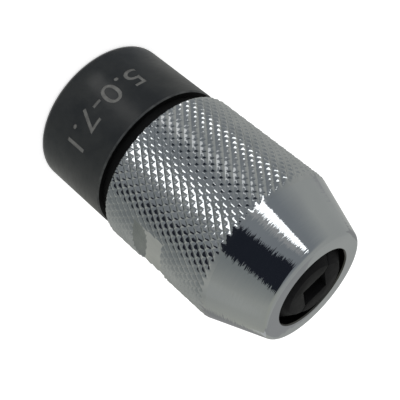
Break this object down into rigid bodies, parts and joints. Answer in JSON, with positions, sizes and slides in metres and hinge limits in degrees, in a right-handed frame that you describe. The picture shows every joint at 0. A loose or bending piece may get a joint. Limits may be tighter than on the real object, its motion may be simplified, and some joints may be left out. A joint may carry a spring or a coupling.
{
  "type": "tap holder",
  "caption": "Two-jaw tap holder: a knurled screw sleeve with an inner cone closes notched jaws on the square of a tap; a blackened collar behind it takes an arbor.",
  "frame": {"origin": "centre of the collar's rear face, on the holder's axis", "axes": "+Z along the holder's axis towards the nose, with the jaws' square notch parallel to X and Y"},
  "size_m": [0.03, 0.03, 0.0536],
  "materials": {
    "blackened_steel": "turned and blackened, satin",
    "jaw_steel": "hardened, blackened and oiled",
    "chrome_plate": "chrome plated, diamond knurled barrel and polished cone",
    "spring_steel": "drawn wire, bright",
    "screw_steel": "blackened"
  },
  "bodies": {
    "spindle": {"body": "blackened_steel", "set_screw": "screw_steel", "jaw_spring_1": "spring_steel", "jaw_spring_2": "spring_steel"},
    "ring": {"stop_ring": "spring_steel"},
    "sleeve": {"sleeve": "chrome_plate"},
    "jaw_1": {"jaw_1": "jaw_steel"},
    "jaw_2": {"jaw_2": "jaw_steel"}
  },
  "joints": [
    {"name": "sleeve_turn", "type": "hinge", "parent": "ring", "child": "sleeve", "pos_m": [0, 0, 0.0306], "axis": [0, 0, 1], "range_deg": [0, 967.11]},
    {"name": "sleeve_travel", "type": "slide", "parent": "spindle", "child": "ring", "axis": [0, 0, 1], "range_m": [0, 0.00403]},
    {"name": "jaw_1_slide", "type": "slide", "parent": "spindle", "child": "jaw_1", "axis": [0.7071, -0.7071, 0], "range_m": [0, 0.00152], "deforming": ["jaw_spring_1", "jaw_spring_2"]},
    {"name": "jaw_2_slide", "type": "slide", "parent": "spindle", "child": "jaw_2", "axis": [-0.7071, 0.7071, 0], "range_m": [0, 0.00152]}
  ],
  "couplings": [
    {"joint": "sleeve_travel", "follows": "sleeve_turn", "m_per_rad": 0.00023873},
    {"joint": "jaw_1_slide", "follows": "sleeve_turn", "m_per_rad": 0.000090067},
    {"joint": "jaw_2_slide", "follows": "sleeve_turn", "m_per_rad": 0.000090067}
  ]
}
